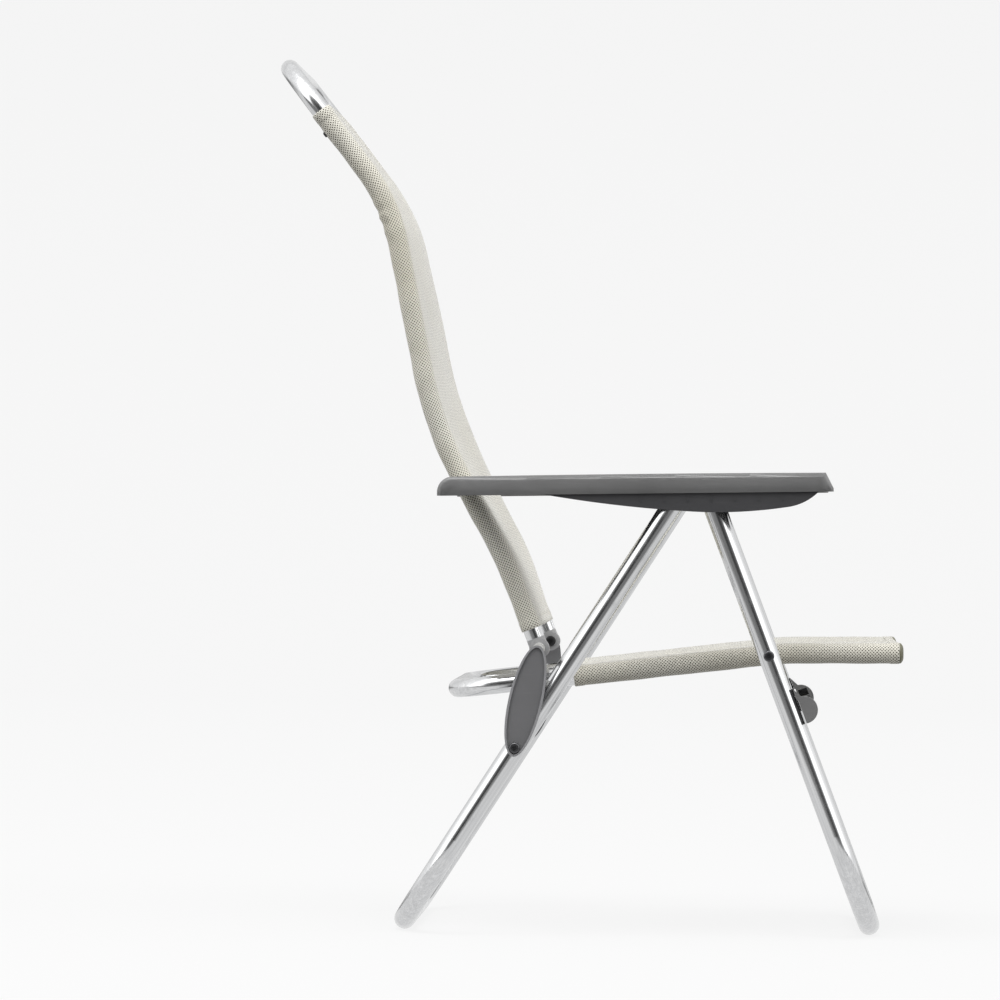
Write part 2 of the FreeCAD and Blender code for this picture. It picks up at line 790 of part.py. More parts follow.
def arm_rack(label, side):
    """Ribbed channel under the armrest, in which the tops of the legs are held."""
    body = new_body(label, arm_frame(side))
    roof = val("arm_top") - val("arm_wall") - 0.3
    a, b = val("rack_rear"), val("rack_front")
    depth = -val("rack_depth")
    skirt = -val("arm_skirt")
    sk = sketch(body, "profile", "XZ_Plane")
    corners = [V(a, skirt, 0), V(a, roof, 0), V(b, roof, 0), V(b, skirt, 0)]
    for p, q in zip(corners[:-1], corners[1:]):
        sk.addGeometry(Part.LineSegment(p, q), False)
    knee = V(val("belly_rear_x"), depth + 0.7, 0)
    nose = V(val("belly_nose_x"), -val("belly_nose"), 0)
    sk.addGeometry(Part.Arc(corners[3], (corners[3] + nose) / 2 - V(-2, 3, 0), nose), False)
    sk.addGeometry(Part.Arc(nose, V((nose.x + knee.x) / 2, depth, 0), knee), False)
    sk.addGeometry(Part.Arc(knee, (knee + corners[0]) / 2 - V(0, 2.6, 0), corners[0]), False)
    pad(body, "block", sk, "rack_channel + 2 * rack_wall")
    channel = sketch(body, "channel", "XZ_Plane")
    wall = val("rack_wall")
    outline(channel, [(a + wall, depth - 5), (a + wall, roof - wall), (b - wall, roof - wall),
                      (b - wall, depth - 5)])
    pocket(body, "channel_cut", channel, "rack_channel")
    ribs = sketch(body, "ribs", "XZ_Plane")
    low = roof - wall - val("rib_h")
    fins = sketch(body, "fins", "XZ_Plane")
    for i in range(int(val("rib_count"))):
        x = val("rib_first") + i * val("rib_pitch") - val("rib_t") / 2
        t = val("rib_t")
        outline(ribs, [(x, low), (x + t, low), (x + t, roof - wall), (x, roof - wall)])
        outline(fins, [(x, skirt - val("fin_drop")), (x + t * 0.6, skirt - val("fin_drop")),
                       (x + t * 0.6, skirt), (x, skirt)])
    pad(body, "rib_row", ribs, "rack_channel")
    pad(body, "fin_row", fins, "rack_channel + 2 * rack_wall + 1.6")
    trim = sketch(body, "trim", "XZ_Plane")
    outline(trim, [(a + wall, depth - 5), (a + wall, low - 0.01), (b - wall, low - 0.01),
                   (b - wall, depth - 5)])
    pocket(body, "trim_cut", trim, "rack_channel")
    return body


def carrier(label, side):
    """Link inside the armrest between the top pins of the two legs."""
    rear, front = at("rear_top"), at("front_top")
    body = new_body(label)
    t = val("carrier_t")
    y = side * (val("plate_inner_y") + t / 2)
    r = val("carrier_r")
    sk = sketch(body, "outline", "XZ_Plane", V(0, 0, -y))
    span = V(front.x - rear.x, 0, front.z - rear.z)
    base = math.atan2(span.z, span.x)
    left, right = base + math.pi / 2, base - math.pi / 2
    up = V(math.cos(left), math.sin(left), 0)
    out = V(math.cos(base), math.sin(base), 0)
    a = V(rear.x, rear.z, 0)
    b = V(front.x, front.z, 0)
    tooth_a = a + out * 12
    tooth_b = a + out * (span.Length - 12)
    sk.addGeometry(Part.ArcOfCircle(Part.Circle(a, V(0, 0, 1), r), left, right + 2 * math.pi), False)
    sk.addGeometry(Part.ArcOfCircle(Part.Circle(b, V(0, 0, 1), r), right, left), False)
    sk.addGeometry(Part.LineSegment(a - up * r, b - up * r), False)
    crest = [b + up * r, tooth_b + up * r, tooth_b + up * (r + 5) - out * 2,
             tooth_a + up * (r + 5) + out * 2, tooth_a + up * r, a + up * r]
    for p, q in zip(crest[:-1], crest[1:]):
        sk.addGeometry(Part.LineSegment(p, q), False)
    pad(body, "base", sk, "carrier_t")
    plate_holes(body, [(rear, "pin / 2 + running"), (front, "pin / 2 + running")], y)
    return body


# ---------------------------------------------------------------- leg clips

def leg_clip(label, side):
    """Moulded clip on the front of a front leg: a D-shaped lobe on a short neck."""
    up, ahead = leg_up()
    pivot = at("front_pivot", side * val("front_leg_side"))
    body = new_body(label, frame(pivot - up * val("clip_drop"), up))
    skin = val("leg_tube") / 2
    slit, reach, half = val("clip_slit"), val("clip_reach"), val("clip_len") / 2
    sk = sketch(body, "profile", "YZ_Plane")
    # local y runs up the leg and local z away from its front
    neck_top, neck = V(half + 12, skin + 0.2, 0), V(half - 3, skin + 0.2, 0)
    inner_top, tip = V(half - 3, skin + slit, 0), V(-half, skin + slit, 0)
    crown = V(half, skin + 6.5, 0)
    for p, q in ((neck_top, neck), (neck, inner_top), (inner_top, tip)):
        sk.addGeometry(Part.LineSegment(p, q), False)
    sk.addGeometry(Part.Arc(tip, V(-half * 0.3, skin + reach, 0), crown), False)
    sk.addGeometry(Part.LineSegment(crown, neck_top), False)
    pad(body, "lobe", sk, "clip_t")
    for i, (low, high) in enumerate(((-0.62, -0.04), (0.06, 0.62))):
        cell = sketch(body, "cell%d" % i, "YZ_Plane", V(0, 0, -side * val("clip_t") / 2))
        inner, outer = skin + slit + 2.2, skin + reach * 0.78
        outline(cell, [(low * half, inner), (high * half, inner), (high * half, outer),
                       (low * half, outer)])
        pocket(body, "cell%d_cut" % i, cell, "clip_t * 1.3")
    skin_bores(body, "screw", 0, half + 1, "clip_screw / 2")
    return body


def clip_screw(name, side):
    """Countersunk screw that holds the clip's neck to the leg."""
    up, ahead = leg_up()
    skin = val("leg_tube") / 2
    point = clip_screw_point(side)
    shank = doc.addObject("Part::Cylinder", name)
    shank.setExpression("Radius", ref("clip_screw / 2"))
    shank.Height = 6
    shank.Placement = FreeCAD.Placement(point + ahead * (skin - 2.2), FreeCAD.Rotation(V(0, 0, 1), ahead))
    return shank


# ---------------------------------------------------------------- assembly

sides = (("right", -1), ("left", 1))
parts = {}


def keep(item, label=None):
    if label:
        item.Label = label
    parts[item.Label] = item
    return item


keep(rear_legs())
keep(front_legs())
keep(back_frame())
keep(seat_frame())
keep(spreader())

back_leg = val("back_bend") + 20
back_place = frame(back_top(), lean(val("head_lean")))
seat_place = frame(seat_rear(), rise(val("seat_rise")))
cloth_back = back_sling()
sling_holes(cloth_back, back_place, val("back_side"), at("arm_pivot"))
keep(cloth_back)
cloth_seat = seat_sling()
sling_holes(cloth_seat, seat_place, val("seat_side"), at("front_pivot"))
spreader_openings(cloth_seat, seat_place)
keep(cloth_seat)

for name, side in sides:
    keep(end_cap("seat_end_cap_" + name, side))
    keep(eye_fitting("backrest_eye_" + name, side))
    keep(bush("backrest_bush_" + name, side))
    keep(outer_plate("link_cover_" + name, side))
    keep(inner_plate("link_plate_" + name, side))
    keep(arm_shell("armrest_" + name, side))
    keep(arm_rack("armrest_rack_" + name, side))
    keep(carrier("leg_carrier_" + name, side))
    keep(leg_clip("leg_clip_" + name, side))

low, top = at("link_low"), at("link_top")
front, stud = at("front_pivot"), at("seat_pivot")
arm = at("arm_pivot")
cover_face = val("plate_outer_y") + val("plate_outer_t")
inner_face = val("plate_inner_y") + val("plate_inner_t")
back_in = val("back_side") - val("back_tube") / 2
back_out = val("back_side") + val("back_tube") / 2
seat_in = val("seat_side") - val("seat_tube") / 2
seat_out = val("seat_side") + val("seat_tube") / 2
leg_in = val("front_leg_side") - val("leg_tube") / 2
leg_out = val("front_leg_side") + val("leg_tube") / 2
gap = val("gap")

groups = {}


def add(group, item):
    groups.setdefault(group, []).append(item)


for name, side in sides:
    add("link_lower_screws", socket_bolt("low_" + name, low.x, low.z, cover_face,
                                         val("plate_inner_y"), side))
    add("link_upper_pins", socket_bolt("top_" + name, top.x, top.z, back_in - gap,
                                       val("plate_outer_y") - 0.1, side))
    add("link_upper_spacers", tube("top_spacer_" + name, "spacer_od / 2", "pin / 2 + running",
                                   top.x, top.z, back_out + gap, val("plate_inner_y") - 0.1, side))
    add("link_stops", tube("stop_" + name, "stop_od / 2", "pin / 2 + running", stud.x, stud.z,
                           inner_face + 0.1, val("plate_outer_y") - 0.1, side))
    add("link_stop_pins", rod("stop_pin_" + name, "pin / 2", stud.x, stud.z, inner_face,
                              val("plate_outer_y"), side))
    add("seat_pivot_studs", rod("stud_" + name, "pin / 2", stud.x, stud.z, seat_in + 1,
                                val("plate_inner_y") - 1, side))
    add("front_pivot_screws", socket_bolt("front_" + name, front.x, front.z, leg_out,
                                          seat_in - 3, side))
    add("front_pivot_spacers", tube("front_spacer_" + name, "spacer_od / 2", "pin / 2 + running",
                                    front.x, front.z, seat_out + gap, leg_in - 0.1, side))
    add("front_pivot_nuts", tube("front_nut_" + name, "head_d / 2", "pin / 2", front.x, front.z,
                                 seat_in - gap - 4.5, seat_in - gap, side))
    add("rear_top_pins", rod("rear_pin_" + name, "pin / 2", val("rear_top_x"),
                             val("rear_top_z"), val("plate_inner_y"),
                             val("rear_leg_side") + val("leg_tube") / 2 - 0.8, side))
    add("front_top_pins", rod("front_pin_" + name, "pin / 2", val("front_top_x"),
                              val("front_top_z"), leg_in + 0.8, inner_face, side))
    wall_in = val("armrest_side") - val("arm_width") / 2
    keep(socket_bolt("armrest_pivot_screw_" + name, arm.x, arm.z,
                     wall_in + val("arm_wall") + gap, back_in - 5, side))
    add("sling_screws", sling_screw("sling_screw_" + name, side))
    add("clip_screws", clip_screw("clip_screw_" + name, side))

for label, shapes in groups.items():
    keep(together(label, shapes))

doc.recompute()
os.makedirs("parts", exist_ok=True)
for item in doc.Objects:
    if "Invalid" in item.State or "Error" in item.State:
        raise RuntimeError("%s is %s" % (item.Label, item.State))
for label, item in parts.items():
    shape = item.Shape
    if shape.isNull() or not shape.isValid() or not shape.Solids:
        raise RuntimeError("bad shape: " + label)
    shape.exportStep("parts/%s.step" % label)
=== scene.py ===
import json
import math

import bmesh
import bpy
from mathutils import Matrix, Vector


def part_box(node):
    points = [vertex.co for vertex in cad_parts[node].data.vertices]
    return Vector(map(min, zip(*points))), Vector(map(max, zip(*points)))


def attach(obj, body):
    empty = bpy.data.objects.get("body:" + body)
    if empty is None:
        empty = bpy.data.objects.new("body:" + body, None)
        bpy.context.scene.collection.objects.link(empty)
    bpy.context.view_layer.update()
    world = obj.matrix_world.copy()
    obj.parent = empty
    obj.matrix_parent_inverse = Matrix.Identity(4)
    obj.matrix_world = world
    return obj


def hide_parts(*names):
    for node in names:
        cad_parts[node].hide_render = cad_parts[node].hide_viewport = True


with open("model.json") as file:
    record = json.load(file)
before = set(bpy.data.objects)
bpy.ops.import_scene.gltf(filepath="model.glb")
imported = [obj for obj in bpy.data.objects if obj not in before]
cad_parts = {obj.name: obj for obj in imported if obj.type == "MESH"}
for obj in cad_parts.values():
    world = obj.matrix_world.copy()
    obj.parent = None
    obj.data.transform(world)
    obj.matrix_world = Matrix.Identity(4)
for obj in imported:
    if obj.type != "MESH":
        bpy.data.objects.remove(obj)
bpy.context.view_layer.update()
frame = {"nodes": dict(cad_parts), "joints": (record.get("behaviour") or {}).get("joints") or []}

# Folding camp chair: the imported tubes, plates and mouldings get their finishes,
# and the two plain slings are replaced by sewn mesh cloth.
# +X is the front of the chair, -Y its right side, +Z up; metres.

MM = 0.001
joints = {j["name"]: j for j in frame["joints"]}


def pivot(name):
    """Place of a joint, in the middle plane of the chair."""
    x, y, z = joints[name]["pos_m"]
    return Vector((x, 0, z))


LINK_TOP = pivot("recline")
LINK_LOW = pivot("fold")
REAR_TOP = pivot("carrier_turn")
FRONT_TOP = pivot("front_leg_turn")
FRONT_PIVOT = pivot("seat_turn")
ARM_PIVOT = pivot("arm_screw_turn")

# ---------------------------------------------------------------- shader helpers


class Shader:
    """A material with a Principled shader and short calls that add nodes to it."""

    def __init__(self, name, colour, metallic=0.0, roughness=0.5, specular=0.5):
        self.material = bpy.data.materials.new(name)
        self.material.use_nodes = True
        self.tree = self.material.node_tree
        self.surface = self.tree.nodes["Principled BSDF"]
        self.surface.inputs["Base Color"].default_value = (*colour, 1)
        self.surface.inputs["Metallic"].default_value = metallic
        self.surface.inputs["Roughness"].default_value = roughness
        self.surface.inputs["Specular IOR Level"].default_value = specular

    def node(self, kind, **inputs):
        made = self.tree.nodes.new("ShaderNode" + kind)
        for name, value in inputs.items():
            self.join(value, made.inputs[name.replace("_", " ")])
        return made

    def join(self, value, socket):
        if isinstance(value, bpy.types.NodeSocket):
            self.tree.links.new(value, socket)
        else:
            socket.default_value = value

    def math(self, operation, a, b=0.0):
        made = self.tree.nodes.new("ShaderNodeMath")
        made.operation = operation
        self.join(a, made.inputs[0])
        self.join(b, made.inputs[1])
        return made.outputs[0]

    def object_space(self, turn=(0, 0, 0), scale=(1, 1, 1)):
        place = self.node("TexCoord").outputs["Object"]
        first = self.node("Mapping", Vector=place, Rotation=turn)
        second = self.node("Mapping", Vector=first.outputs[0], Scale=scale)
        return second.outputs[0]

    def noise(self, vector, scale, detail=2.0):
        return self.node("TexNoise", Vector=vector, Scale=scale, Detail=detail).outputs["Fac"]

    def ramp(self, value, low, high, from_low=0.0, from_high=1.0):
        made = self.node("MapRange", Value=value)
        made.inputs["From Min"].default_value = from_low
        made.inputs["From Max"].default_value = from_high
        made.inputs["To Min"].default_value = low
        made.inputs["To Max"].default_value = high
        return made.outputs["Result"]

    def blend(self, factor, first, second):
        made = self.tree.nodes.new("ShaderNodeMix")
        made.data_type = "RGBA"
        self.join(factor, made.inputs[0])
        for value, socket in ((first, made.inputs[6]), (second, made.inputs[7])):
            if not isinstance(value, bpy.types.NodeSocket):
                value = (*value, 1)
            self.join(value, socket)
        return made.outputs[2]

    def colour(self, socket):
        self.join(socket, self.surface.inputs["Base Color"])

    def roughness(self, socket):
        self.join(socket, self.surface.inputs["Roughness"])

    def bump(self, height, strength, distance, soften=0.0):
        """Fine relief. soften rounds the look of the edges by this radius."""
        made = self.node("Bump", Height=height)
        if soften:
            edge = self.node("Bevel")
            edge.inputs["Radius"].default_value = soften
            self.join(edge.outputs[0], made.inputs["Normal"])
        made.inputs["Strength"].default_value = strength
        made.inputs["Distance"].default_value = distance
        self.join(made.outputs[0], self.surface.inputs["Normal"])


def turn_of(direction):
    """Angle about Y that lays a direction in the side view along local X."""
    return math.atan2(direction.z, direction.x)


def drawn_aluminium(name, along):
    """Bright anodised tube with fine draw lines along it and faint handling marks."""
    s = Shader(name, (0.70, 0.705, 0.71), metallic=1.0, roughness=0.16)
    turn = (0, turn_of(along), 0)
    lines = s.noise(s.object_space(turn, (5, 620, 620)), 1.0, 3.0)
    broad = s.noise(s.object_space(turn, (3, 210, 210)), 1.0, 2.0)
    marks = s.noise(s.object_space(), 46.0, 6.0)
    bright, dull = (0.78, 0.785, 0.79), (0.60, 0.605, 0.615)
    shade = s.blend(s.ramp(lines, 0.0, 1.0, 0.3, 0.7), dull, bright)
    shade = s.blend(s.ramp(broad, 0.0, 0.45, 0.35, 0.65), shade, (0.55, 0.555, 0.56))
    s.colour(s.blend(s.ramp(marks, 0.0, 0.35, 0.58, 0.8), shade, (0.50, 0.50, 0.51)))
    wear = s.ramp(marks, 0.0, 0.12, 0.5, 0.75)
    s.roughness(s.math("ADD", s.ramp(lines, 0.09, 0.2, 0.3, 0.7), wear))
    s.bump(lines, 0.16, 0.0001)
    return s.material


def moulded_plastic(name, colour, roughness, grain=1400.0, soften=0.0, coat=0.0, rim=None):
    """Moulded plastic with a fine spark grain, uneven tone and light scuffs. rim is how far out
    sideways a raised rim is; the rim gets a painted highlight, a paler colour for light catching
    it."""
    s = Shader(name, colour, roughness=roughness, specular=0.5)
    s.surface.inputs["Coat Weight"].default_value = coat
    s.surface.inputs["Coat Roughness"].default_value = 0.28
    place = s.object_space()
    tone = s.noise(place, 11.0, 4.0)
    fine = s.noise(place, grain, 2.0)
    streak = s.noise(s.object_space(scale=(22, 260, 260)), 1.0, 3.0)
    pale = tuple(min(1.0, c * 1.28 + 0.01) for c in colour)
    deep = tuple(c * 0.84 for c in colour)
    shade = s.blend(s.ramp(tone, 0.0, 1.0, 0.3, 0.7), deep, tuple(c * 1.06 for c in colour))
    shade = s.blend(s.ramp(streak, 0.0, 0.25, 0.6, 0.75), shade, pale)
    if rim:
        # painted highlight: the face of the raised rim is blended to a paler colour, for light
        # catching the rim
        out = s.math("ABSOLUTE", s.node("SeparateXYZ", Vector=place).outputs["Y"])
        rim_highlight = tuple(c * 1.75 for c in colour)
        shade = s.blend(s.ramp(out, 0.0, 1.0, rim - 0.8 * MM, rim - 0.3 * MM), shade, rim_highlight)
    s.colour(shade)
    grained = s.ramp(fine, roughness - 0.06, roughness + 0.06)
    s.roughness(s.math("ADD", grained, s.ramp(streak, 0, 0.08)))
    s.bump(fine, 0.35, 0.00006, soften)
    return s.material


def plated_steel(name, colour, roughness, metallic=1.0):
    """Small turned hardware with a lathe grain round it and dulled flats."""
    s = Shader(name, colour, metallic=metallic, roughness=roughness)
    place = s.object_space()
    grain = s.noise(place, 900.0, 3.0)
    tone = s.noise(place, 160.0, 3.0)
    dark = tuple(c * 0.72 for c in colour)
    s.colour(s.blend(s.ramp(tone, 0.0, 1.0, 0.35, 0.65), dark, colour))
    s.roughness(s.ramp(grain, roughness - 0.08, roughness + 0.12))
    s.bump(grain, 0.2, 0.00005)
    return s.material


THREAD = 1.95 * MM  # spacing of the mesh's threads


def mesh_cloth(name, pale=(0.79, 0.775, 0.705), pinhole_shade=(0.05, 0.042, 0.03)):
    """Coated polyester mesh: pale threads in a basket weave; its pinholes get painted shade, a
    dark brown-grey colour for the shade seen through them.
    """
    s = Shader(name, pale, roughness=0.6, specular=0.3)
    s.surface.inputs["Sheen Weight"].default_value = 0.6
    s.surface.inputs["Sheen Roughness"].default_value = 0.35
    place = s.node("SeparateXYZ", Vector=s.node("TexCoord").outputs["UV"])
    waves = []
    for axis in ("X", "Y"):
        turns = s.math("MULTIPLY", place.outputs[axis], math.pi / THREAD)
        waves.append(s.math("SINE", turns))
    weave = s.math("MULTIPLY", waves[0], waves[1])
    pin = s.ramp(weave, 0.0, 1.0, 0.15, 0.5)
    strand = s.ramp(weave, 0.35, 0.0, -0.9, 0.1)
    slub = s.noise(s.object_space(), 520.0, 3.0)
    tone = s.noise(s.object_space(), 7.0, 3.0)
    warm = tuple(c * f for c, f in zip(pale, (0.94, 0.92, 0.86)))
    base = s.blend(s.ramp(tone, 0.0, 1.0, 0.35, 0.65), pale, warm)
    base = s.blend(s.ramp(slub, 0.0, 0.5, 0.45, 0.7), base, (0.58, 0.56, 0.48))
    base = s.blend(strand, base, (0.56, 0.54, 0.46))
    # painted shade: the pinholes are coloured near black for the shade seen through them
    s.colour(s.blend(pin, base, pinhole_shade))
    s.roughness(s.ramp(weave, 0.5, 0.8))
    s.bump(s.math("SUBTRACT", 1.0, s.math("ABSOLUTE", weave)), 0.35, 0.0003)
    return s.material


def sewing_thread(name):
    """Twisted pale thread."""
    s = Shader(name, (0.82, 0.81, 0.76), roughness=0.55)
    twist = s.noise(s.object_space((0, 0, 0.7), (900, 2600, 900)), 1.0, 2.0)
    s.colour(s.blend(twist, (0.70, 0.69, 0.64), (0.92, 0.91, 0.87)))
    s.bump(twist, 0.4, 0.0001)
    return s.material


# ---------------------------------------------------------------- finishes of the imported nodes

SEAT_RISE = math.radians(7.1)
REAR_LEG = REAR_TOP - LINK_LOW
FRONT_LEG = FRONT_TOP - FRONT_PIVOT
BACK_RAIL = ARM_PIVOT - LINK_TOP
SEAT_RAIL = Vector((1, 0, math.tan(SEAT_RISE)))

finish_of = {
    "rear_leg_frame": drawn_aluminium("aluminium_rear_legs", REAR_LEG),
    "front_leg_frame": drawn_aluminium("aluminium_front_legs", FRONT_LEG),
    "backrest_frame": drawn_aluminium("aluminium_backrest", BACK_RAIL),
    "seat_frame": drawn_aluminium("aluminium_seat", SEAT_RAIL),
    "seat_spreader": drawn_aluminium("aluminium_spreader", SEAT_RAIL),
}
cover_grey = moulded_plastic("cover_grey", (0.150, 0.150, 0.155), 0.36, soften=0.0006, coat=0.5,
                            rim=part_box("link_cover_left")[1][1])
armrest_grey = moulded_plastic("armrest_grey", (0.165, 0.165, 0.165), 0.4, grain=1100.0,
                               soften=0.016, coat=1.0)
rack_grey = moulded_plastic("rack_grey", (0.045, 0.045, 0.048), 0.5)
eye_grey = moulded_plastic("eye_grey", (0.36, 0.36, 0.365), 0.34)
clip_grey = moulded_plastic("clip_grey", (0.17, 0.17, 0.17), 0.42)
cap_olive = moulded_plastic("cap_olive", (0.16, 0.155, 0.10), 0.45)
bearing_white = moulded_plastic("bearing_white", (0.62, 0.62, 0.60), 0.4)
black_zinc = plated_steel("black_zinc", (0.018, 0.018, 0.019), 0.36, metallic=0.3)
dark_zinc = plated_steel("dark_zinc", (0.11, 0.11, 0.115), 0.3, metallic=0.9)
bright_zinc = plated_steel("bright_zinc", (0.60, 0.60, 0.61), 0.3)

by_prefix = (
    ("link_cover", cover_grey), ("link_plate", cover_grey), ("armrest_rack", rack_grey),
    ("armrest_pivot_screw", black_zinc), ("armrest", armrest_grey), ("leg_carrier", rack_grey),
    ("leg_clip", clip_grey), ("seat_end_cap", cap_olive), ("backrest_eye", eye_grey),
    ("backrest_bush", bearing_white), ("link_lower_screws", dark_zinc),
    ("link_upper_pins", black_zinc), ("link_upper_spacers", bearing_white),
    ("link_stops", bearing_white), ("link_stop_pins", bright_zinc),
    ("seat_pivot_studs", bright_zinc), ("front_pivot_screws", dark_zinc),
    ("front_pivot_spacers", bearing_white), ("front_pivot_nuts", bright_zinc),
    ("rear_top_pins", bright_zinc), ("front_top_pins", bright_zinc),
    ("sling_screws", black_zinc), ("clip_screws", bright_zinc),
)
cloth_white = mesh_cloth("sling_mesh")
thread_white = sewing_thread("sewing_thread")


def finish_for(name):
    """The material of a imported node, by its name; the slings take the cloth."""
    if name in finish_of:
        return finish_of[name]
    for prefix, material in by_prefix:
        if name.startswith(prefix):
            return material
    return cloth_white


for name, item in frame["nodes"].items():
    item.data.materials.clear()
    item.data.materials.append(finish_for(name))

# ---------------------------------------------------------------- slings


def rise(angle):
    """Unit vector in the side view, this far up from the front (+X)."""
    return Vector((math.cos(angle), 0, math.sin(angle)))


class Rail:
    """Axis of a bent rail in the side view, walked by its length. It is made of stretches
    (length, turn), each straight or one arc."""

    def __init__(self, start, heading, stretches):
        self.parts = []
        self.length = 0.0
        point = start.copy()
        for length, turn in stretches:
            self.parts.append((self.length, point, heading, length, turn))
            point = self.point_on(point, heading, length, turn, length)
            heading += turn
            self.length += length

    @staticmethod
    def point_on(point, heading, length, turn, walked):
        """Point this far along one stretch that starts at a point with a heading."""
        swing = turn * walked / length if length else 0.0
        if abs(swing) < 1e-9:
            return point + rise(heading) * walked
        chord = walked * math.sin(swing / 2) / (swing / 2)
        return point + rise(heading + swing / 2) * chord

    def at(self, walked):
        """Point on the axis and direction of the axis."""
        for begin, point, heading, length, turn in reversed(self.parts):
            if walked >= begin:
                break
        local = walked - begin
        angle = heading + (turn * local / length if length else 0.0)
        return self.point_on(point, heading, length, turn, local), rise(angle)


# the backrest rail, from its lower pivot upwards: (length in mm, lean in degrees at its end)
BACK_RUN = (
    (84.8, 21.8), (53.6, 29.1), (83.5, 29.1), (139.1, 11.9), (151.8, 11.9), (97.5, 37.9),
    (156.5, 37.9),
)


def back_rail():
    """Axis of the backrest rails, from the lower pivot to the root of the top bow."""
    stretches = []
    before = BACK_RUN[0][1]
    for length, after in BACK_RUN:
        stretches.append((length * MM, math.radians(after - before)))
        before = after
    return Rail(LINK_TOP, math.radians(90 + BACK_RUN[0][1]), stretches)


# the seat rails rise to a bend near the front, and are nearly level from there
FRONT_RISE = math.radians(0.9)
SEAT_REAR_X, SEAT_BEND_X = -156 * MM, 222 * MM
SEAT_BEND_LENGTH, SEAT_FRONT_LENGTH = 26 * MM, 124 * MM


def seat_rail():
    """Axis of the seat rails, from the root of the rear bow to the open front ends."""
    drop = (FRONT_PIVOT.x - SEAT_REAR_X) * math.tan(SEAT_RISE)
    rear = Vector((SEAT_REAR_X, 0, FRONT_PIVOT.z - drop))
    straight = (SEAT_BEND_X - SEAT_REAR_X) / math.cos(SEAT_RISE)
    bend = (SEAT_BEND_LENGTH, FRONT_RISE - SEAT_RISE)
    stretches = [(straight, 0), bend, (SEAT_FRONT_LENGTH, 0)]
    return Rail(rear, SEAT_RISE, stretches)


CLOTH = 0.9 * MM  # thickness
SEAM = 4.0 * MM  # from the rail to the seam that closes the sleeve
TUCK = 1.25 * MM  # from the panel down to the seam allowance under it
ALLOWANCE = 14 * MM  # width of the seam allowance
HEM = 11 * MM  # width of the turned hem
HEM_STEP = 0.5 * MM  # half the width of the step at the edge of the hem
STITCH = 4.4 * MM  # pitch of the stitches
SLEEVE_LINE = math.radians(49)  # where the sleeve's stitched line runs round the rail
ROW = 5 * MM  # spacing of the cloth's rows of vertices along the rail


def half_section(radius, half):
    """One half of a sling's section as (across, off, kind) points. off is towards the
    side that the panel lies on. The cloth comes from under the panel, goes round the
    rail and runs on from the top of the rail to the middle."""
    seam = half - radius - SEAM
    low = radius - TUCK
    away = math.hypot(radius + SEAM, low)
    leave = 2 * math.pi - math.atan2(radius + SEAM, low) - math.acos(radius / away)
    folds = 6
    points = [(seam - ALLOWANCE * (1 - i / folds), low, "allowance") for i in range(folds + 1)]
    touch = (half + radius * math.sin(leave), radius * math.cos(leave))
    for i in (1, 2, 3):
        part = i / 4
        points.append((seam + (touch[0] - seam) * part, low + (touch[1] - low) * part, "flank"))
    steps = 44
    for i in range(steps + 1):
        swing = leave * (1 - i / steps)
        points.append((half + radius * math.sin(swing), radius * math.cos(swing), "sleeve"))
    near = 12 * MM
    for i in (1, 2, 3):
        points.append((half - near * i / 3, radius, "panel"))
    panel_steps = 16
    for i in range(1, panel_steps + 1):
        points.append(((half - near) * (1 - i / panel_steps), radius, "panel"))
    return points


def nearest(section, across, off, kind):
    """Column of the section that is nearest to a place on it."""
    def gap(j):
        a, o, k = section[j]
        return (math.hypot(a - across, o - off), j) if k == kind else (1.0, j)
    return min(range(len(section)), key=gap)


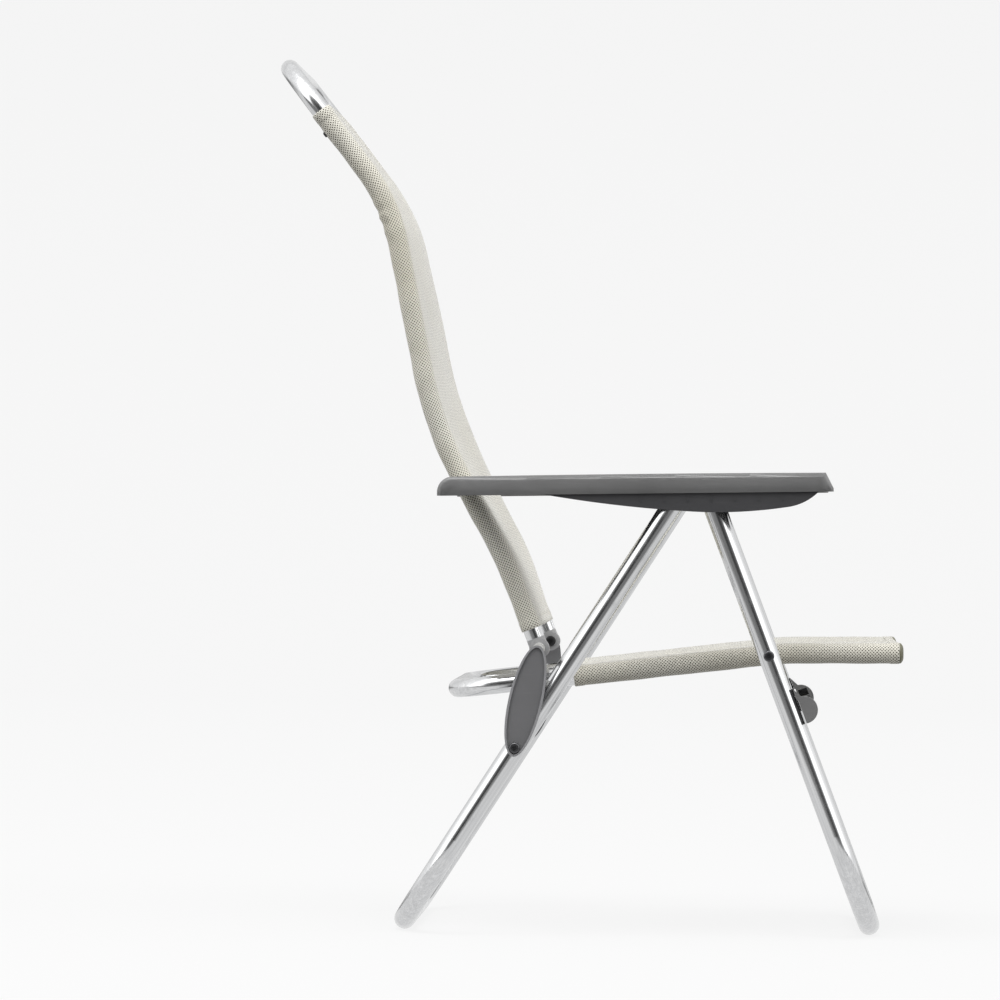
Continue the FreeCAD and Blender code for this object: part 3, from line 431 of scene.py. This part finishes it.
class Sling:
    """Sewn sling between two rails. face is 1 where the panel lies on the side that the
    axis's left normal points to."""

    def __init__(self, name, rail, start, end, half, radius, face, crown, pucker):
        self.name, self.rail, self.half, self.radius = name, rail, half, radius
        self.start, self.end, self.face = start, end, face
        self.crown, self.pucker = crown, pucker
        right = half_section(radius, half)
        self.section = [(-a, o, k) for a, o, k in right]
        self.section += [(a, o, k) for a, o, k in reversed(right[:-1])]
        count = round((end - start) / ROW)
        stations = {start + (end - start) * i / count for i in range(count + 1)}
        steps = (0.6 * MM, HEM - HEM_STEP, HEM + HEM_STEP)
        for edge, inward in ((start, 1), (end, -1)):
            stations |= {edge + inward * step for step in steps}
        self.stations = sorted(stations)
        self.grid = [[self.place(w, *point) for point in self.section] for w in self.stations]

    def place(self, walked, across, off, kind):
        """Where a point of the section lies, this far along the rail."""
        point, along = self.rail.at(walked)
        front = Vector((-along.z, 0, along.x)) * self.face
        edge = min(walked - self.start, self.end - walked)
        turned = 0.45 * MM if 0.3 * MM < edge < HEM else 0.0
        shift = self.pucker(walked, across, off, kind) + turned
        if kind == "sleeve":
            centre = math.copysign(self.half, across)
            spoke = Vector((0, across - centre, 0)) + front * off
            return point + Vector((0, across, 0)) + front * off + spoke.normalized() * shift
        fill = 1 - (across / self.half) ** 2
        lift = self.crown(walked) * fill
        if kind == "allowance":
            shift = min(shift, 0.0)
        if kind == "flank":
            lift *= (off + self.radius) / (2 * self.radius)
            shift = 0.0
        return point + Vector((0, across, 0)) + front * (off + lift + shift)

    def cloth(self):
        """The sewn cloth as an object, and its flat size as (width, length)."""
        bm = bmesh.new()
        rows = [[bm.verts.new(p) for p in line] for line in self.grid]
        uv = bm.loops.layers.uv.new("weave")
        widths = [0.0]
        for (a, o, k), (b, p, q) in zip(self.section[:-1], self.section[1:]):
            widths.append(widths[-1] + math.hypot(b - a, p - o))
        for i in range(len(rows) - 1):
            for j in range(len(self.section) - 1):
                corners = ((i, j), (i, j + 1), (i + 1, j + 1), (i + 1, j))
                made = bm.faces.new([rows[m][n] for m, n in corners])
                made.smooth = True
                for loop, (m, n) in zip(made.loops, corners):
                    loop[uv].uv = (widths[n], self.stations[m])
        area = sum(f.calc_area() for f in bm.faces)
        made = mesh_object(self.name + "_mesh", bm, cloth_white)
        thick = made.modifiers.new("cloth", "SOLIDIFY")
        thick.thickness = CLOTH
        thick.offset = 0
        cut = self.end - self.start
        return made, (area / cut, cut)

    def outward(self, i, j):
        """Unit normal of the cloth away from the rail, at a grid point."""
        i, j = min(max(i, 1), len(self.grid) - 2), min(max(j, 1), len(self.section) - 2)
        along = self.grid[i + 1][j] - self.grid[i - 1][j]
        across = self.grid[i][j + 1] - self.grid[i][j - 1]
        return along.cross(across).normalized() * -self.face

    def lengthwise(self, column):
        """Line of places and normals down one column, clear of the two edges."""
        inside = range(2, len(self.grid) - 2)
        return [(self.grid[i][column], self.outward(i, column)) for i in inside]

    def crosswise(self, distance):
        """Line of places and normals across the panel, this far from the start edge."""
        i = min(range(len(self.stations)), key=lambda m: abs(self.stations[m] - distance))
        columns = [j for j, p in enumerate(self.section) if p[2] in ("panel", "sleeve")]
        columns = [j for j in columns if self.section[j][1] > -0.3 * self.radius]
        return [(self.grid[i][j], self.outward(i, j)) for j in columns]

    def stitching(self):
        """Short thread stitches: on the outer face of each sleeve, in two lines through
        each seam, and along both hems."""
        bm = bmesh.new()
        seam = self.half - self.radius - SEAM
        across = self.half + self.radius * math.sin(SLEEVE_LINE)
        off = self.radius * math.cos(SLEEVE_LINE)
        for side in (-1, 1):
            sew(bm, self.lengthwise(nearest(self.section, side * across, off, "sleeve")))
            for inward in (2.5 * MM, 11 * MM):
                column = nearest(self.section, side * (seam - inward), self.radius, "panel")
                sew(bm, self.lengthwise(column))
        sew(bm, self.crosswise(self.start + HEM - HEM_STEP))
        sew(bm, self.crosswise(self.end - HEM + HEM_STEP))
        return mesh_object(self.name + "_stitches", bm, thread_white)


def mesh_object(name, bm, material):
    """Object made from a bmesh, with one material."""
    mesh = bpy.data.meshes.new(name)
    bm.to_mesh(mesh)
    bm.free()
    mesh.materials.append(material)
    made = bpy.data.objects.new(name, mesh)
    bpy.context.scene.collection.objects.link(made)
    return made


def sew(bm, line):
    """Stitches one after another along a line of (place, normal) on the cloth."""
    travelled, due = 0.0, 0.5 * STITCH
    for (a, up_a), (b, up_b) in zip(line[:-1], line[1:]):
        length = (b - a).length
        while due < travelled + length:
            part = (due - travelled) / length
            stitch(bm, a.lerp(b, part), (b - a).normalized(), up_a.lerp(up_b, part).normalized())
            due += STITCH
        travelled += length


def stitch(bm, place, along, up):
    """One thread stitch: a bead that sinks into the cloth at both ends."""
    side = along.cross(up)
    long, thick, sides = 0.34 * STITCH, 0.36 * MM, 6
    profile = ((-1, 0.45, 0.1), (-0.55, 1, 0.42), (0.55, 1, 0.42), (1, 0.45, 0.1))
    rings = []
    for reach, size, height in profile:
        centre = place + along * (reach * long) + up * (0.5 * CLOTH + height * thick - 0.1 * MM)
        ring = []
        for i in range(sides):
            a = 2 * math.pi * i / sides
            spoke = (side * math.cos(a) + up * math.sin(a)) * size * thick
            ring.append(bm.verts.new(centre + spoke))
        rings.append(ring)
    for r, q in zip(rings[:-1], rings[1:]):
        for i in range(sides):
            j = (i + 1) % sides
            bm.faces.new((r[i], r[j], q[j], q[i])).smooth = True
    bm.faces.new(tuple(reversed(rings[0])))
    bm.faces.new(tuple(rings[-1]))


def bump_at(value, centre, width):
    """A smooth hump, 1 at its centre."""
    return math.exp(-((value - centre) / width) ** 2)


def back_crown(walked):
    """How far the middle of the back panel stands forward of the rails."""
    full = 2.0
    for height, centre, width in ((11.5, 0.265, 0.12), (5, 0.1, 0.07), (7, 0.45, 0.1)):
        full += height * bump_at(walked, centre, width)
    fade = 60 * MM
    ends = min(1.0, 0.45 + min(walked - BACK_START, back_end - walked) / fade)
    return full * MM * ends


def back_pucker(walked, across, off, kind):
    """Small folds where the sleeve is pushed together inside the neck bend, a welt along
    the stitched line, and faint tension ripples in the panel."""
    ripple = 0.35 * MM * math.sin(walked / 0.021 + 9 * across) * bump_at(abs(across), 0.16, 0.06)
    if kind != "sleeve":
        return ripple * (1 if kind == "panel" else 0)
    behind = 1.0 if off < -0.2 * BACK_R else 0.12
    folds = 0.0
    for shift, height, width in ((0, 1.9, 5.2), (17, 1.1, 4.5), (-20, 0.9, 6)):
        folds += height * MM * bump_at(walked, NECK + shift * MM, width * MM)
    wave = 0.24 * MM * math.sin(walked / 0.013) + 0.18 * MM * math.sin(walked / 0.0071 + 2)
    calm = 0.3 if off > 0.9 * BACK_R else 1.0
    return folds * behind + wave * calm + welt(across, off, BACK_SIDE, BACK_R)


def welt(across, off, side, radius):
    """Ridge where the sleeve's stitched line runs, with a shallow groove at its middle."""
    swing = math.atan2(abs(across) - side, off)
    ridge, groove = 0.42 * MM, 0.34 * MM
    return ridge * bump_at(swing, SLEEVE_LINE, 0.2) - groove * bump_at(swing, SLEEVE_LINE, 0.06)


def seat_crown(walked):
    """The seat panel sags a little, the same all along it."""
    return -1.5 * MM


def seat_pucker(walked, across, off, kind):
    """Faint ripples in the panel, and waves and a welt on the sleeve."""
    ripple = 0.3 * MM * math.sin(walked / 0.024 + 7 * across) * bump_at(abs(across), 0.14, 0.05)
    if kind != "sleeve":
        return ripple * (1 if kind == "panel" else 0)
    wave = 0.16 * MM * math.sin(walked / 0.015) + 0.12 * MM * math.sin(walked / 0.0083)
    return wave + welt(across, off, SEAT_SIDE, SEAT_R)


back_axis = back_rail()
seat_axis = seat_rail()
BACK_SIDE, SEAT_SIDE = 238 * MM, 211 * MM  # from the chair's middle to a rail
BACK_R, SEAT_R = 11.75 * MM, 11.75 * MM  # rail to the middle of the sleeve's cloth
BACK_START = 25 * MM
back_end = back_axis.length - 68 * MM
NECK = back_axis.length - 217 * MM
SEAT_START = 142 * MM
seat_end = seat_axis.length - 0.4 * MM

slings = (
    (Sling("backrest_sling", back_axis, BACK_START, back_end, BACK_SIDE, BACK_R, -1,
           back_crown, back_pucker), "backrest", "backrest_frame"),
    (Sling("seat_sling", seat_axis, SEAT_START, seat_end, SEAT_SIDE, SEAT_R, 1,
           seat_crown, seat_pucker), "seat", "seat_frame"),
)
for sling, body, rail in slings:
    panel, flat = sling.cloth()
    thread = sling.stitching()
    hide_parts(sling.name)
    for piece in (panel, thread):
        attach(piece, body)
    print(sling.name, "flat size", [round(x, 4) for x in flat])

# ---------------------------------------------------------------- floor, light, camera


def paper():
    """Pale floor: even for the eye, and darker at the front in what the tubes reflect."""
    s = Shader("paper", (0.07, 0.07, 0.07), roughness=0.95, specular=0.05)
    s.surface.inputs["Emission Color"].default_value = (1, 1, 1, 1)
    s.surface.inputs["Emission Strength"].default_value = 0.84

    # what the tubes reflect: the floor by its distance, and the wall by its height
    place = s.node("SeparateXYZ", Vector=s.node("TexCoord").outputs["Object"])
    near = s.ramp(place.outputs["Y"], 0.06, 0.86, -1.5, -0.9)
    deep = s.ramp(place.outputs["Y"], 1.0, 0.3, 1.5, 6.0)
    gloss = s.ramp(s.node("LightPath").outputs["Is Glossy Ray"], 0.42, 1.0)
    wall = s.ramp(place.outputs["Z"], 0.26, 0.86, 0.1, 1.5)
    level = s.math("MULTIPLY", s.math("MAXIMUM", s.math("MULTIPLY", near, deep), wall), gloss)
    glow = s.node("Emission", Strength=level)
    mixed = s.node("MixShader")
    eye = s.node("LightPath").outputs["Is Camera Ray"]
    s.join(eye, mixed.inputs[0])
    s.join(glow.outputs[0], mixed.inputs[1])
    s.join(s.surface.outputs[0], mixed.inputs[2])
    s.join(mixed.outputs[0], s.tree.nodes["Material Output"].inputs["Surface"])
    return s.material


def backdrop():
    """Pale floor that sweeps up behind the object."""
    bm = bmesh.new()
    reach, near, depth, sweep, top, steps = 14.0, -12.0, 9.0, 3.0, 12.0, 16
    profile = [(near, 0.0), (depth, 0.0)]
    for i in range(1, steps + 1):
        a = math.radians(90 * i / steps)
        profile.append((depth + sweep * math.sin(a), sweep * (1 - math.cos(a))))
    profile.append((depth + sweep, top))
    rows = [[bm.verts.new((x, y, z)) for x in (-reach, reach)] for y, z in profile]
    for a, b in zip(rows[:-1], rows[1:]):
        bm.faces.new((a[0], a[1], b[1], b[0])).smooth = True
    mesh_object("floor", bm, paper())


def soft_light(name, place, aim, size, power):
    """Rectangular area light, aimed at a point."""
    lamp = bpy.data.lights.new(name, "AREA")
    lamp.shape = "RECTANGLE"
    lamp.size, lamp.size_y = size
    lamp.energy = power
    made = bpy.data.objects.new(name, lamp)
    bpy.context.scene.collection.objects.link(made)
    made.location = place
    made.rotation_euler = (Vector(aim) - Vector(place)).to_track_quat("-Z", "Y").to_euler()


CAMERA_PLACE = Vector((0.1915, -8.6, 0.5075))
CAMERA_AIM = Vector((-0.1143, 0, 0.5151))
CAMERA_ROLL = math.radians(0.859)
LENS_MM = 253.2

# brightness of the room against the angle from the camera side, above and below it
ROOM_ABOVE = ((0.0, 0.05), (0.11, 0.07), (0.20, 0.30), (0.25, 1.9), (0.38, 2.4), (0.44, 1.4),
              (0.60, 1.05), (0.75, 1.0), (0.92, 0.85))
ROOM_BELOW = ((0.0, 0.05), (0.10, 0.08), (0.19, 0.5), (0.26, 0.8), (0.6, 0.85), (1.0, 0.3))


def studio():
    """A bright room with a broad light over the camera side, dark straight behind it."""
    world = bpy.data.worlds.new("studio")
    bpy.context.scene.world = world
    world.use_nodes = True
    tree = world.node_tree
    back = tree.nodes["Background"]

    def node(kind):
        return tree.nodes.new("ShaderNode" + kind)

    place = node("TexCoord").outputs["Generated"]
    toward = node("VectorMath")
    toward.operation = "DOT_PRODUCT"
    tree.links.new(place, toward.inputs[0])
    toward.inputs[1].default_value = (CAMERA_PLACE - Vector((0, 0, 0.5))).normalized()
    angle = node("Math")
    angle.operation = "ARCCOSINE"
    tree.links.new(toward.outputs["Value"], angle.inputs[0])
    share = node("Math")
    share.operation = "DIVIDE"
    tree.links.new(angle.outputs[0], share.inputs[0])
    share.inputs[1].default_value = math.pi
    tones = []
    for levels in (ROOM_BELOW, ROOM_ABOVE):
        tone = node("ValToRGB")
        tree.links.new(share.outputs[0], tone.inputs[0])
        ramp = tone.color_ramp
        for i, (position, level) in enumerate(levels):
            stop = ramp.elements[i] if i < 2 else ramp.elements.new(position)
            stop.position = position
            stop.color = (level, level, level, 1)
        tones.append(tone.outputs[0])
    height = node("SeparateXYZ")
    tree.links.new(place, height.inputs[0])
    upper = node("MapRange")
    tree.links.new(height.outputs["Z"], upper.inputs["Value"])
    upper.inputs["From Min"].default_value = -0.06
    upper.inputs["From Max"].default_value = 0.06
    room = node("Mix")
    room.data_type = "RGBA"
    tree.links.new(upper.outputs["Result"], room.inputs[0])
    tree.links.new(tones[0], room.inputs[6])
    tree.links.new(tones[1], room.inputs[7])
    seen = node("Mix")
    seen.data_type = "RGBA"
    tree.links.new(node("LightPath").outputs["Is Camera Ray"], seen.inputs[0])
    tree.links.new(room.outputs[2], seen.inputs[6])
    seen.inputs[7].default_value = (0.93, 0.93, 0.93, 1)
    tree.links.new(seen.outputs[2], back.inputs["Color"])
    back.inputs["Strength"].default_value = 1.0
    soft_light("key", (-0.8, -1.8, 4.6), aim=(0, 0, 0.4), size=(2.6, 1.8), power=90)


def camera():
    """Camera level with the armrests, square to the chair's right side."""
    lens = bpy.data.cameras.new("camera")
    lens.lens = LENS_MM
    lens.sensor_width = 36
    lens.clip_end = 100
    made = bpy.data.objects.new("camera", lens)
    bpy.context.scene.collection.objects.link(made)
    look = (CAMERA_AIM - CAMERA_PLACE).to_track_quat("-Z", "Y").to_matrix().to_4x4()
    roll = Matrix.Rotation(CAMERA_ROLL, 4, "Z")
    made.matrix_world = Matrix.Translation(CAMERA_PLACE) @ look @ roll
    bpy.context.scene.camera = made
    bpy.context.scene.view_settings.view_transform = "Standard"


backdrop()
studio()
camera()

bpy.context.view_layer.update()
